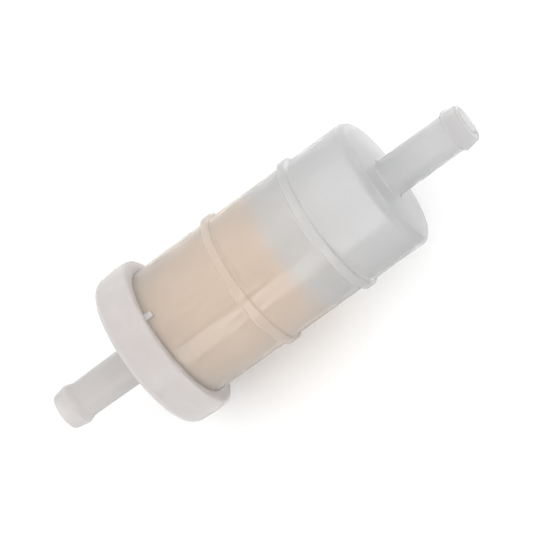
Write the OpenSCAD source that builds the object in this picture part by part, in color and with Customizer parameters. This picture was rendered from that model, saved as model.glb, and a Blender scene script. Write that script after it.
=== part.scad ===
// In-line fuel filter: a moulded canister and a welded cap, each with a barbed hose nipple,
// around a pleated paper element that is bonded between two end discs.
//
// The filter's axis lies along X. The cap is on the -X side and the canister's end face on the
// +X side. The origin is on the axis, halfway between the tips of the two nipples.

/* [Canister] */
// Outside diameter of the canister's barrel
barrel_d = 30; // [30:0.5:32]
// Wall thickness of the barrel
barrel_wall = 1.5; // [1.3:0.1:1.6]
// Length of barrel that shows between the cap's rim and the end face
barrel_show = 55.0; // [52:0.2:70]
// Thickness of the canister's end wall
end_wall = 2.0; // [1.5:0.1:3]
// Radius of the round on the outer edge of the end face
end_round = 2.0; // [0.8:0.1:2.4]

/* [Stiffening ribs] */
// Distance from the cap's rim to the middle of the first rib
rib_start = 19.3; // [12:0.1:24]
// Distance between the middles of the two ribs
rib_gap = 20; // [14:0.5:24]
// Width of a rib's crest
rib_w = 2.1; // [1.6:0.1:3]
// Height of a rib above the barrel
rib_h = 0.82; // [0.6:0.02:1.1]
// Radius of the fillets on both sides of a rib
rib_fillet = 0.55; // [0.2:0.05:0.6]

/* [Cap] */
// Outside diameter of the cap where it is widest
cap_d = 36.4; // [35.2:0.2:40]
// Length of the cap, from its outer face to its rim
cap_len = 8.7; // [8.6:0.1:12]
// Thickness of the cap's end wall
cap_wall = 2.0; // [1.5:0.1:2.4]
// Radius of the round on the cap's outer edge
cap_round = 1.9; // [1:0.1:2.6]
// Radius of the round on the cap's rim
rim_round = 0.7; // [0.3:0.05:0.9]
// Distance from the cap's rim to the mould's parting line, where the cap is widest
parting = 3.2; // [1.6:0.1:5]
// How much smaller the cap's radius is at its outer face than at the parting line
face_draft = 0.4; // [0:0.05:0.5]
// How much smaller the cap's radius is at its rim than at the parting line
rim_draft = 0.2; // [0:0.05:0.3]
// Length of the small tab that the rim puts out over the barrel
tab_len = 1.8; // [1:0.1:3]

/* [Hose nipples] */
// Bore of both nipples
bore_d = 5.8; // [5:0.1:6]
// Length of the cap's nipple
cap_nipple_len = 21.7; // [18:0.1:26]
// Diameter of the cap's nipple at its root
cap_root_d = 8.5; // [8.2:0.1:8.8]
// Diameter of the cap's nipple behind its barb
cap_neck_d = 8.25; // [8:0.05:8.6]
// Diameter over the barb of the cap's nipple
cap_barb_d = 9.4; // [9.2:0.1:9.8]
// Length of the slope behind the barb of the cap's nipple
cap_barb_back = 1.45; // [0.8:0.05:2]
// Length of the canister's nipple
end_nipple_len = 20.6; // [18:0.1:26]
// Diameter of the canister's nipple at its root
end_root_d = 8.5; // [8.2:0.1:8.8]
// Diameter of the canister's nipple behind its barb
end_neck_d = 8.45; // [8.2:0.05:8.8]
// Diameter over the barb of the canister's nipple
end_barb_d = 9.6; // [9.3:0.1:9.9]
// Length of the slope behind the barb of the canister's nipple
end_barb_back = 0.6; // [0.4:0.05:2]
// Length of the lead-in taper from the barb to the nipple's tip
barb_taper = 3.15; // [2.4:0.05:4]

/* [Filter element] */
// Number of pleats in the paper
pleats = 36; // [28:1:38]
// Thickness of the paper
paper_t = 0.4; // [0.3:0.05:0.45]
// Outside diameter over the end discs
disc_d = 26.2; // [25.6:0.1:26.2]
// Length of the part of the element that shows past the cap's rim
element_show = 29.5; // [24:0.1:34]
// Height of the skirt that the closed end disc turns down over the pleats
skirt_len = 3.4; // [2.4:0.1:5]

/* [Hidden] */

nylon = [0.90, 0.89, 0.88];
cap_white = [0.87, 0.84, 0.82];
disc_cream = [0.93, 0.87, 0.78];
glue_cream = [0.86, 0.80, 0.66];
paper_beige = [0.84, 0.72, 0.58];
tin_grey = [0.72, 0.73, 0.74];
rubber_black = [0.08, 0.08, 0.09];

round_fn = 96;  // facets of the round solids
small_fn = 48;  // facets of the small rounds and holes
over = 1;       // how far a cutter runs past the face that it cuts
slip = 0.05;    // clearance of a push fit, on the radius

// Places along the axis
total_len = cap_nipple_len + cap_len + barrel_show + end_nipple_len;
cap_tip_x = -total_len / 2;
cap_face_x = cap_tip_x + cap_nipple_len;
cap_floor_x = cap_face_x + cap_wall;
rim_x = cap_face_x + cap_len;
end_face_x = rim_x + barrel_show;
end_floor_x = end_face_x - end_wall;
end_tip_x = total_len / 2;

// Radii
barrel_r = barrel_d / 2;
chamber_r = barrel_r - barrel_wall;
cap_r = cap_d / 2;
bore_r = bore_d / 2;

// Joint between the cap and the canister: the barrel's mouth stands in the cap's socket,
// and a ring of melted nylon fills the trap between the mouth and the cap's floor
bead_len = 1.1;
mouth_x = cap_floor_x + bead_len;

// Ribs, with a small round on both edges of the crest
rib_places = [rim_x + rib_start, rim_x + rib_start + rib_gap];
crest_round = 0.32;

// Tab on the rim, wider at its root than at its tip
tab_root_w = 1.7;
tab_tip_w = 0.9;
tab_h = 0.8;

// Barb: a short round land on its crest, and a small round on the nipple's tip
barb_land = 0.4;
tip_drop = 0.6;
tip_round = 0.5;
root_round = 0.6;
chamber_round = 0.8;

// Spigot inside the cap, with the groove for the seal ring
spigot_r = 4.7;
spigot_len = 5.2;
spigot_end_x = cap_floor_x + spigot_len;
seal_wire_r = 0.65;
seal_mid_r = 4.2;
seal_height = 3.6;
seal_x = cap_floor_x + seal_height;
groove_w = 1.6;

// Filter element: end discs, glue beds, paper and the perforated tube inside it
disc_r = disc_d / 2;
disc_t = 1.2;
skirt_t = 0.45;
glue_t = 0.8;
disc_gap = 0.3;
open_disc_x = cap_floor_x + disc_gap;
open_skirt = 3.2;
element_end_x = rim_x + element_show;
glue_start_x = open_disc_x + disc_t;
paper_start_x = glue_start_x + glue_t;
paper_end_x = element_end_x - disc_t - glue_t;
skirt_in_r = disc_r - skirt_t;
collar_gap = 0.15;
collar_t = 0.85;
collar_in_r = spigot_r + collar_gap;
collar_out_r = collar_in_r + collar_t;
collar_len = 5.2;
tube_t = 0.6;
tube_in_r = collar_out_r + slip;
tube_out_r = tube_in_r + tube_t;
tube_hole_r = 1.0;
tube_hole_rows = 7;
tube_holes_round = 6;
first_hole = 0.25;  // place of the first hole round the tube, in steps between holes
row_shift = 0.5;    // turn of every second row, in steps between holes
pilot_t = 0.95;
pilot_len = 3;

// Pleats: folds between a tip circle and a root circle, each with a short flat
paper_gap = 0.1;
paper_out_r = skirt_in_r - paper_gap;
paper_in_r = tube_out_r + paper_gap;
pleat_step = 360 / pleats;
tip_share = 0.14;   // half-width of a tip's flat, in steps between pleats
root_share = 0.22;  // half-width of a root's flat, in steps between pleats
tip_flat = tip_share * pleat_step;
root_flat = root_share * pleat_step;
tip_half_t = paper_t / 2 / paper_out_r * 180 / PI;
root_half_t = paper_t / 2 / paper_in_r * 180 / PI;

// Glued seam: a bead that lies in one valley between two pleats
seam_drop = 0.2;
seam_depth = 2;
seam_out_r = paper_out_r - seam_drop;
seam_in_r = seam_out_r - seam_depth;
seam_out_share = 0.22;  // half-width of the bead's outer side, in steps between pleats
seam_in_share = 0.13;   // half-width of the bead's inner side, in steps between pleats
seam_out_half = seam_out_share * pleat_step;
seam_in_half = seam_in_share * pleat_step;

function polar(r, a) = [r * cos(a), r * sin(a)];

// One face of the folded paper, as a closed loop that runs out to every tip and in to every root
function pleat_loop(tip_r, tip_half, root_r, root_half) = [
    for (i = [0 : pleats - 1])
        each [
            polar(tip_r, i * pleat_step - tip_half),
            polar(tip_r, i * pleat_step + tip_half),
            polar(root_r, (i + 0.5) * pleat_step - root_half),
            polar(root_r, (i + 0.5) * pleat_step + root_half)
        ]
];

// Turns an outline of [radius, place along the axis] about the X axis
module turned() {
    rotate([0, 90, 0]) rotate_extrude($fn = round_fn) children();
}

// Rectangle in such an outline
module span(r0, r1, x0, x1) {
    translate([r0, x0]) square([r1 - r0, x1 - x0]);
}

// What has to be cut from the corner at radius r and place x, to leave a round there.
// way is 1 where the corner faces +X and -1 where it faces -X.
module corner_waste(r, x, rad, way) {
    difference() {
        translate([r - rad, way > 0 ? x - rad : x - over]) square(rad + over);
        translate([r - rad, x - way * rad]) circle(rad, $fn = small_fn);
    }
}

// Fillet in the inner corner between a wall of radius r and the face at place x.
// way is 1 where the fillet stands on the face's +X side.
module corner_fill(r, x, rad, way) {
    lap = rad / 2;
    difference() {
        translate([r - lap, way > 0 ? x - lap : x - rad]) square(rad + lap);
        translate([r + rad, x + way * rad]) circle(rad, $fn = small_fn);
    }
}

// Outline of a nipple from its root at place 0 to its tip at place len
module nipple_outline(len, root_d, neck_d, barb_d, back) {
    barb_r = barb_d / 2;
    tip_r = barb_r - tip_drop;
    crest_start = len - barb_taper - barb_land;
    difference() {
        polygon([
            [0, -over], [root_d / 2, -over], [root_d / 2, 0], [neck_d / 2, crest_start - back],
            [barb_r, crest_start], [barb_r, crest_start + barb_land], [tip_r, len], [0, len]
        ]);
        corner_waste(tip_r, len, tip_round, 1);
    }
}

// Rib that runs round the barrel: a flat crest with rounded edges, and a fillet on both sides
module rib_outline(x) {
    half_w = rib_w / 2;
    root_r = barrel_r - barrel_wall / 2;
    span(root_r, barrel_r + rib_h - crest_round, x - half_w, x + half_w);
    span(root_r, barrel_r + rib_h, x - half_w + crest_round, x + half_w - crest_round);
    for (way = [-1, 1]) {
        translate([barrel_r + rib_h - crest_round, x + way * (half_w - crest_round)])
            circle(crest_round, $fn = small_fn);
        corner_fill(barrel_r, x + way * half_w, rib_fillet, way);
    }
}

// Canister: barrel with two ribs, end wall and the nipple on it
module filter_body() {
    color(nylon) {
        turned() difference() {
            union() {
                difference() {
                    span(0, barrel_r, mouth_x, end_face_x);
                    corner_waste(barrel_r, end_face_x, end_round, 1);
                }
                for (x = rib_places) rib_outline(x);
                corner_fill(end_root_d / 2, end_face_x, root_round, 1);
                translate([0, end_face_x])
                    nipple_outline(end_nipple_len, end_root_d, end_neck_d, end_barb_d, end_barb_back);
            }
            difference() {
                span(0, chamber_r, mouth_x - over, end_floor_x);
                corner_waste(chamber_r, end_floor_x, chamber_round, 1);
            }
            span(0, bore_r, end_floor_x - over, end_tip_x + over);
        }
    }
}

// Cap: socket for the barrel's mouth, spigot for the element, end wall and the nipple on it
module end_cap() {
    color(cap_white) {
        turned() difference() {
            union() {
                difference() {
                    polygon([
                        [0, cap_face_x], [cap_r - face_draft, cap_face_x], [cap_r, rim_x - parting],
                        [cap_r - rim_draft, rim_x], [0, rim_x]
                    ]);
                    corner_waste(cap_r - face_draft, cap_face_x, cap_round, -1);
                    corner_waste(cap_r - rim_draft, rim_x, rim_round, 1);
                    span(0, barrel_r + slip, cap_floor_x, rim_x + over);
                }
                span(0, spigot_r, cap_floor_x - over, spigot_end_x);
                corner_fill(cap_root_d / 2, cap_face_x, root_round, -1);
                translate([0, cap_face_x]) mirror([0, 1])
                    nipple_outline(cap_nipple_len, cap_root_d, cap_neck_d, cap_barb_d, cap_barb_back);
            }
            span(seal_mid_r - seal_wire_r, spigot_r + over, seal_x - groove_w / 2, seal_x + groove_w / 2);
            span(0, bore_r, cap_tip_x - over, spigot_end_x + over);
        }
        // Tab on the rim, on the upper side
        translate([rim_x, 0, barrel_r + slip]) linear_extrude(tab_h)
            polygon([
                [-over, -tab_root_w / 2], [tab_len, -tab_tip_w / 2],
                [tab_len, tab_tip_w / 2], [-over, tab_root_w / 2]
            ]);
    }
}

// Ring of melted nylon between the barrel's mouth and the cap's floor
module weld_bead() {
    color(nylon) turned() span(chamber_r, barrel_r, cap_floor_x, mouth_x);
}

// End disc next to the cap, with a skirt over the pleats and a collar for the seal ring
module open_end_disc() {
    color(disc_cream) turned() {
        span(collar_in_r, disc_r, open_disc_x, open_disc_x + disc_t);
        span(collar_in_r, collar_out_r, open_disc_x, open_disc_x + collar_len);
        span(skirt_in_r, disc_r, open_disc_x, open_disc_x + open_skirt);
    }
}

// End disc that closes the far end of the element, with a skirt and a pilot for the tube
module closed_end_disc() {
    pilot_r = tube_in_r - slip;
    color(disc_cream) turned() difference() {
        union() {
            span(0, disc_r, element_end_x - disc_t, element_end_x);
            span(skirt_in_r, disc_r, element_end_x - skirt_len, element_end_x);
            span(pilot_r - pilot_t, pilot_r, element_end_x - disc_t - pilot_len, element_end_x);
        }
        corner_waste(disc_r, element_end_x, tip_round, 1);
    }
}

// Bed of glue that holds the pleats in the open end disc
module open_end_glue() {
    color(glue_cream) turned() span(tube_out_r, skirt_in_r, glue_start_x, paper_start_x);
}

// Bed of glue that holds the pleats in the closed end disc
module closed_end_glue() {
    color(glue_cream) turned() span(tube_out_r, skirt_in_r, paper_end_x, paper_end_x + glue_t);
}

// Pleated paper, folded round into a star
module filter_paper() {
    outer = pleat_loop(paper_out_r, tip_flat + tip_half_t, paper_in_r + paper_t, root_flat - root_half_t);
    inner = pleat_loop(paper_out_r - paper_t, tip_flat - tip_half_t, paper_in_r, root_flat + root_half_t);
    color(paper_beige) translate([paper_start_x, 0, 0]) rotate([0, 90, 0])
        linear_extrude(paper_end_x - paper_start_x)
            difference() {
                polygon(outer);
                polygon(inner);
            }
}

// Bead of glue along the valley where the two ends of the paper meet
module paper_seam() {
    mid = pleat_step / 2;
    color(glue_cream) translate([paper_start_x, 0, 0]) rotate([0, 90, 0])
        linear_extrude(paper_end_x - paper_start_x)
            polygon([
                polar(seam_in_r, mid - seam_in_half), polar(seam_out_r, mid - seam_out_half),
                polar(seam_out_r, mid + seam_out_half), polar(seam_in_r, mid + seam_in_half)
            ]);
}

// Perforated tube that keeps the pleats from folding inward
module core_tube() {
    tube_start_x = glue_start_x;
    tube_end_x = element_end_x - disc_t;
    row_gap = (tube_end_x - tube_start_x) / (tube_hole_rows + 1);
    color(tin_grey) difference() {
        turned() span(tube_in_r, tube_out_r, tube_start_x, tube_end_x);
        for (row = [1 : tube_hole_rows], turn = [0 : tube_holes_round - 1])
            translate([tube_start_x + row * row_gap, 0, 0])
                rotate([(turn + first_hole + row_shift * (row % 2)) * 360 / tube_holes_round, 0, 0])
                    translate([0, 0, tube_in_r - over])
                        cylinder(h = tube_t + 2 * over, r = tube_hole_r, $fn = small_fn);
    }
}

// Rubber ring in the spigot's groove, which seals the element's collar
module seal_ring() {
    color(rubber_black) turned() translate([seal_mid_r, seal_x]) circle(seal_wire_r, $fn = small_fn);
}

filter_body();
end_cap();
weld_bead();
open_end_disc();
closed_end_disc();
open_end_glue();
closed_end_glue();
filter_paper();
paper_seam();
core_tube();
seal_ring();
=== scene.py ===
import math

import bpy
from mathutils import Matrix, Vector


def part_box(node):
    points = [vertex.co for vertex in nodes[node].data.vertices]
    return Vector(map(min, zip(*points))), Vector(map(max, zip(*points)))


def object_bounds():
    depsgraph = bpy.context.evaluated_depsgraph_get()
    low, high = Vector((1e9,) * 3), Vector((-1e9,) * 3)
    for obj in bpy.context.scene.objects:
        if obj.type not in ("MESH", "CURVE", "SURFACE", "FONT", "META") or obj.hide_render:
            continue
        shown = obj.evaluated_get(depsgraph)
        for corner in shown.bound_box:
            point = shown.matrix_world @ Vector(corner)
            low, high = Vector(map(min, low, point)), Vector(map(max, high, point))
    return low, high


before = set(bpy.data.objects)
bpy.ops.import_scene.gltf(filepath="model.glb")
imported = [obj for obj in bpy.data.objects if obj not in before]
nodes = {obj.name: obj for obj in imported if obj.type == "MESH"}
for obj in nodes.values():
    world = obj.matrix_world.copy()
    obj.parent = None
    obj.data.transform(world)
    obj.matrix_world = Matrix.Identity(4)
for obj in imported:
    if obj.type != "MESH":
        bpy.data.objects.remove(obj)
cad_low, cad_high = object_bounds()

# The view: the filter's right end leans towards the camera, and the camera is rolled
LEAN = math.radians(14.4)  # how far the axis leans out of the picture
TAB_TURN = math.radians(23.0)  # from the cap's tab round to the side that faces the camera
ROLL = math.radians(35.88)  # slope of the axis in the picture
DISTANCE = 0.85  # from the camera to the filter
LENS_MM = 278.0
SENSOR_MM = 36.0
AIM_ALONG = 0.00089  # where the view's centre meets the axis
AIM_ACROSS = 0.0001  # how far the view's centre lies above the axis in the picture

STUDIO = 1.3  # brightness of the studio round the filter
STUDIO_LOW = 0.3  # its brightness at the lower right
SOFTBOX_ACROSS = math.radians(42.4)  # the softbox's turn round the axis, from the camera to the lower right
SOFTBOX_ALONG = math.radians(-25.3)  # its turn from there towards the filter's right end
SOFTBOX_AWAY = 0.7  # from the filter to the softbox
SOFTBOX_SIZE = (0.45, 0.37)
SOFTBOX_WATTS = 1.35

FLOOR_REACH = 3.0
FLOOR_GAP = 0.0002  # from the floor up to the filter

MM = 0.001
TAB_LENGTH = 1.8 * MM  # how far the cap's tab stands out from its rim
NIPPLE_LENGTH = 20.6 * MM  # from the canister's end face to the nipple's tip
RIB_FOOT = 15.1 * MM  # distance from the axis where a rib starts
RIB_CREST = 15.4 * MM
RIB_CLEAR = 0.97  # how clear a rib's crest is beside the wall round it

# Sizes of the surface detail, in spots per metre
CLOUDS = 140.0
GLOSS_PATCHES = 420.0
FLOW_MARKS = 90.0
GRAIN = 2600.0
FIBRES = 900.0

# Heights of the surface detail, in metres
FLOW_HEIGHT = 0.00001
GRAIN_HEIGHT = 0.000008
FIBRE_HEIGHT = 0.00004
MOULD_HEIGHT = 0.00001

NOISE_LOW = 0.3  # nearly all values of a noise lie between these two
NOISE_HIGH = 0.7
MIX_FIRST, MIX_SECOND, MIX_RESULT = 6, 7, 2  # a Mix node's colour sockets

WHITE = (1.0, 1.0, 1.0)
OVER_PAPER = (0.95, 0.86, 0.774)  # tint of the wall over the paper


def view_axes():
    """The camera's right, up and backward directions, and the axis and its across direction as seen."""
    side = Vector((0.0, -math.sin(TAB_TURN), math.cos(TAB_TURN)))
    back = Vector((math.sin(LEAN), 0.0, 0.0)) + side * math.cos(LEAN)
    along = (Vector((1.0, 0.0, 0.0)) - back * back.x).normalized()
    across = back.cross(along)
    right = along * math.cos(ROLL) - across * math.sin(ROLL)
    up = along * math.sin(ROLL) + across * math.cos(ROLL)
    return right, up, back, along, across


RIGHT, UP, BACK, ALONG, ACROSS = view_axes()


def aimed(right, up, back, place):
    """A matrix that looks along -back from the given place."""
    turn = Matrix((right, up, back)).transposed().to_4x4()
    return Matrix.Translation(place) @ turn


def make_camera():
    data = bpy.data.cameras.new("camera")
    data.lens = LENS_MM
    data.sensor_width = SENSOR_MM
    data.clip_start, data.clip_end = 0.01, 20.0
    cam = bpy.data.objects.new("camera", data)
    bpy.context.scene.collection.objects.link(cam)
    aim = Vector((AIM_ALONG, 0.0, 0.0)) + ACROSS * AIM_ACROSS
    cam.matrix_world = aimed(RIGHT, UP, BACK, aim + BACK * DISTANCE)
    bpy.context.scene.camera = cam


def make_softbox():
    """A rectangular soft light that faces the filter, so that its reflection lies along the barrel."""
    facing = BACK * math.cos(SOFTBOX_ACROSS) - ACROSS * math.sin(SOFTBOX_ACROSS)
    facing = facing * math.cos(SOFTBOX_ALONG) + ALONG * math.sin(SOFTBOX_ALONG)
    long_side = (ALONG - facing * ALONG.dot(facing)).normalized()
    data = bpy.data.lights.new("softbox", "AREA")
    data.shape = "RECTANGLE"
    data.size, data.size_y = SOFTBOX_SIZE
    data.energy = SOFTBOX_WATTS
    lamp = bpy.data.objects.new("softbox", data)
    bpy.context.scene.collection.objects.link(lamp)
    lamp.matrix_world = aimed(long_side, facing.cross(long_side), facing, facing * SOFTBOX_AWAY)


def make_world():
    """An even white studio, a little darker towards the picture's lower right."""
    world = bpy.data.worlds.new("studio")
    world.use_nodes = True
    tree = world.node_tree
    background = tree.nodes["Background"]
    background.inputs["Color"].default_value = (*WHITE, 1.0)
    coords = tree.nodes.new("ShaderNodeTexCoord")
    height = tree.nodes.new("ShaderNodeVectorMath")
    height.operation = "DOT_PRODUCT"
    height.inputs[1].default_value = ACROSS
    fade = tree.nodes.new("ShaderNodeMapRange")
    fade.inputs["From Min"].default_value = -1.0
    fade.inputs["From Max"].default_value = 0.0
    fade.inputs["To Min"].default_value = STUDIO_LOW
    fade.inputs["To Max"].default_value = STUDIO
    tree.links.new(coords.outputs["Generated"], height.inputs[0])
    tree.links.new(height.outputs["Value"], fade.inputs["Value"])
    tree.links.new(fade.outputs["Result"], background.inputs["Strength"])
    bpy.context.scene.world = world


def make_floor():
    z = cad_low.z - FLOOR_GAP
    ends = (-FLOOR_REACH, FLOOR_REACH)
    corners = [(x, y, z) for y in ends for x in ends]
    mesh = bpy.data.meshes.new("floor")
    mesh.from_pydata(corners, [], [(0, 1, 3, 2)])
    floor = bpy.data.objects.new("floor", mesh)
    bpy.context.scene.collection.objects.link(floor)
    material, shader = new_material("floor_white")
    put(shader, {"Base Color": (0.96, 0.96, 0.96, 1.0), "Roughness": 0.9, "Specular IOR Level": 0.1})
    mesh.materials.append(material)


def new_material(name):
    material = bpy.data.materials.new(name)
    material.use_nodes = True
    return material, material.node_tree.nodes["Principled BSDF"]


def put(shader, values):
    """Sets plain numbers and colours on the shader's own sockets."""
    for socket, value in values.items():
        shader.inputs[socket].default_value = value


class Graph:
    """Adds shader nodes to a material and links them."""

    def __init__(self, material):
        self.tree = material.node_tree

    def add(self, kind, **values):
        node = self.tree.nodes.new(kind)
        for key, value in values.items():
            setattr(node, key, value)
        return node

    def link(self, source, target):
        self.tree.links.new(source, target)

    def place(self, stretch=(1.0, 1.0, 1.0)):
        """Object coordinates, stretched."""
        coords = self.add("ShaderNodeTexCoord")
        mapping = self.add("ShaderNodeMapping")
        mapping.inputs["Scale"].default_value = stretch
        self.link(coords.outputs["Object"], mapping.inputs["Vector"])
        return mapping.outputs["Vector"]

    def noise(self, scale, detail=3.0, stretch=(1.0, 1.0, 1.0), roughness=0.5):
        node = self.add("ShaderNodeTexNoise")
        node.inputs["Scale"].default_value = scale
        node.inputs["Detail"].default_value = detail
        node.inputs["Roughness"].default_value = roughness
        self.link(self.place(stretch), node.inputs["Vector"])
        return node.outputs["Fac"]

    def ramp(self, source, low, high):
        """Colour that runs from low to high with a noise."""
        node = self.add("ShaderNodeValToRGB")
        first, last = node.color_ramp.elements
        first.position, first.color = NOISE_LOW, (*low, 1.0)
        last.position, last.color = NOISE_HIGH, (*high, 1.0)
        self.link(source, node.inputs["Fac"])
        return node.outputs["Color"]

    def span(self, source, low, high):
        """Number that runs from low to high with a noise."""
        node = self.add("ShaderNodeMapRange")
        node.inputs["From Min"].default_value = NOISE_LOW
        node.inputs["From Max"].default_value = NOISE_HIGH
        node.inputs["To Min"].default_value = low
        node.inputs["To Max"].default_value = high
        self.link(source, node.inputs["Value"])
        return node.outputs["Result"]

    def along(self, stops):
        """Colour that changes along the axis. stops are pairs of a place in metres and a colour."""
        coords = self.add("ShaderNodeTexCoord")
        split = self.add("ShaderNodeSeparateXYZ")
        self.link(coords.outputs["Object"], split.inputs["Vector"])
        share = self.add("ShaderNodeMapRange")
        share.inputs["From Min"].default_value = cad_low.x
        share.inputs["From Max"].default_value = cad_high.x
        self.link(split.outputs["X"], share.inputs["Value"])
        node = self.add("ShaderNodeValToRGB")
        ends = node.color_ramp.elements
        while len(ends) < len(stops):
            ends.new(0.5)
        for end, (x, colour) in zip(ends, stops):
            end.position = (x - cad_low.x) / (cad_high.x - cad_low.x)
            end.color = (*colour, 1.0)
        self.link(share.outputs["Result"], node.inputs["Fac"])
        return node.outputs["Color"]

    def off_axis(self, near, far, start, end):
        """Number that runs from near to far as the distance from the axis runs from start to end."""
        coords = self.add("ShaderNodeTexCoord")
        flat = self.add("ShaderNodeVectorMath", operation="MULTIPLY")
        flat.inputs[1].default_value = (0.0, 1.0, 1.0)
        self.link(coords.outputs["Object"], flat.inputs[0])
        reach = self.add("ShaderNodeVectorMath", operation="LENGTH")
        self.link(flat.outputs["Vector"], reach.inputs[0])
        node = self.add("ShaderNodeMapRange")
        node.inputs["From Min"].default_value = start
        node.inputs["From Max"].default_value = end
        node.inputs["To Min"].default_value = near
        node.inputs["To Max"].default_value = far
        self.link(reach.outputs["Value"], node.inputs["Value"])
        return node.outputs["Result"]

    def times(self, first, second):
        """Product of two colours."""
        node = self.add("ShaderNodeMix", data_type="RGBA", blend_type="MULTIPLY")
        node.inputs["Factor"].default_value = 1.0
        self.link(first, node.inputs[MIX_FIRST])
        self.link(second, node.inputs[MIX_SECOND])
        return node.outputs[MIX_RESULT]

    def bump(self, source, distance, strength=1.0, under=None):
        node = self.add("ShaderNodeBump")
        node.inputs["Distance"].default_value = distance
        node.inputs["Strength"].default_value = strength
        self.link(source, node.inputs["Height"])
        if under is not None:
            self.link(under, node.inputs["Normal"])
        return node.outputs["Normal"]


def nylon(name, low, high, tints, rough, coat, coat_rough):
    """Milky moulded nylon. low to high is its clouding, and tints colour it along the filter's axis."""
    material, shader = new_material(name)
    g = Graph(material)
    clouding = g.ramp(g.noise(CLOUDS, 4.0), low, high)
    g.link(g.times(clouding, g.along(tints)), shader.inputs["Base Color"])
    g.link(g.span(g.noise(GLOSS_PATCHES, 2.0), rough - 0.05, rough + 0.05), shader.inputs["Roughness"])
    flow = g.bump(g.noise(FLOW_MARKS, 2.0, (0.35, 1.0, 1.0)), FLOW_HEIGHT, 0.1)
    g.link(g.bump(g.noise(GRAIN, 2.0), GRAIN_HEIGHT, 0.5, flow), shader.inputs["Normal"])
    put(shader, {
        "IOR": 1.42,
        "Subsurface Weight": 1.0,
        "Subsurface Radius": (1.0, 0.95, 0.9),
        "Subsurface Scale": 0.003,
        "Coat Weight": coat,
        "Coat Roughness": coat_rough,
        "Coat IOR": 1.5,
    })
    return material, shader


def frosted_nylon(tints, clear):
    """The canister's nylon. clear is how much light goes through the wall, along the filter's axis."""
    material, shader = nylon(
        "frosted_nylon", (0.915, 0.915, 0.915), (0.945, 0.945, 0.945), tints,
        rough=0.9, coat=0.65, coat_rough=0.1)
    g = Graph(material)
    crest = g.off_axis(1.0, RIB_CLEAR, RIB_FOOT, RIB_CREST)
    g.link(g.times(g.along(clear), crest), shader.inputs["Transmission Weight"])
    return material


def white_nylon(tints):
    """The cap's nylon."""
    material, shader = nylon(
        "white_nylon", (0.745, 0.715, 0.705), (0.805, 0.765, 0.755), tints,
        rough=0.6, coat=0.4, coat_rough=0.2)
    put(shader, {"Transmission Weight": 0.5})
    return material


def paper():
    material, shader = new_material("pleated_paper")
    g = Graph(material)
    fibre = g.noise(FIBRES, 5.0, (0.25, 1.0, 1.0), 0.6)
    g.link(g.ramp(fibre, (0.92, 0.89, 0.84), (0.98, 0.95, 0.90)), shader.inputs["Base Color"])
    g.link(g.bump(fibre, FIBRE_HEIGHT, 0.6), shader.inputs["Normal"])
    put(shader, {"Roughness": 0.9, "Specular IOR Level": 0.2})
    return material


def moulded(name, low, high, rough, scale=200.0, metallic=0.0):
    """A surface with mottled colour and gloss. scale is the mottling's, in spots per metre."""
    material, shader = new_material(name)
    g = Graph(material)
    g.link(g.ramp(g.noise(scale, 3.0), low, high), shader.inputs["Base Color"])
    g.link(g.span(g.noise(scale * 3.0, 2.0), rough - 0.06, rough + 0.06), shader.inputs["Roughness"])
    g.link(g.bump(g.noise(scale * 8.0, 2.0), MOULD_HEIGHT, 0.6), shader.inputs["Normal"])
    put(shader, {"Metallic": metallic})
    return material


def dress(node, material):
    mesh = nodes[node].data
    mesh.materials.clear()
    mesh.materials.append(material)


make_camera()
make_floor()
make_world()
make_softbox()

# Places along the filter's axis where the tints change
rim_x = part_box("end_cap")[1].x - TAB_LENGTH
paper_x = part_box("filter_paper")[1].x
chamber_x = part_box("closed_end_disc")[1].x
nipple_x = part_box("filter_body")[1].x - NIPPLE_LENGTH
cap_tip_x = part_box("end_cap")[0].x

dress("filter_body", frosted_nylon(
    tints=[
        # painted light: the wall's tint is lighter right at the cap's rim and fades out over 5 mm, to lift
        # the shade that the rim casts on the barrel
        (rim_x, (1.0, 0.903, 0.82)),
        (rim_x + 5.0 * MM, OVER_PAPER),
        (paper_x - 1.4 * MM, OVER_PAPER),
        (paper_x + 0.9 * MM, (0.945, 0.878, 0.814)),
        (chamber_x + 2.6 * MM, (0.93, 0.932, 0.934)),
        (chamber_x + 10.1 * MM, (0.93, 0.93, 0.93)),
        (chamber_x + 14.1 * MM, (0.95, 0.95, 0.95)),
        (nipple_x + 0.1 * MM, (0.95, 0.95, 0.955)),
        (nipple_x + 3.6 * MM, (0.866, 0.866, 0.868)),
        (nipple_x + 14.6 * MM, (0.862, 0.86, 0.86)),
        (nipple_x + 17.6 * MM, (0.82, 0.815, 0.812)),
    ],
    clear=[
        (rim_x, (0.7, 0.7, 0.7)),
        (rim_x + 5.0 * MM, (0.8, 0.8, 0.8)),
        (paper_x - 1.4 * MM, (0.8, 0.8, 0.8)),
        (chamber_x + 2.6 * MM, (0.92, 0.92, 0.92)),
    ]))
dress("end_cap", white_nylon(tints=[
    (cap_tip_x + 19.0 * MM, (0.90, 0.91, 0.91)),
    (cap_tip_x + 22.0 * MM, WHITE),
]))
dress("weld_bead", moulded("melted_nylon", (0.78, 0.77, 0.75), (0.86, 0.85, 0.83), 0.4))
disc = moulded("cream_plastic", (0.64, 0.57, 0.50), (0.70, 0.63, 0.56), 0.45)
dress("open_end_disc", disc)
dress("closed_end_disc", disc)
glue = moulded("cured_glue", (0.62, 0.50, 0.32), (0.78, 0.66, 0.46), 0.3)
for name in ("open_end_glue", "closed_end_glue", "paper_seam"):
    dress(name, glue)
dress("filter_paper", paper())
dress("core_tube", moulded(
    "tinned_steel", (0.52, 0.53, 0.55), (0.68, 0.69, 0.70), 0.32, scale=320.0, metallic=1.0))
dress("seal_ring", moulded("black_rubber", (0.02, 0.02, 0.02), (0.05, 0.05, 0.05), 0.6))

bpy.context.scene.view_settings.view_transform = "Standard"
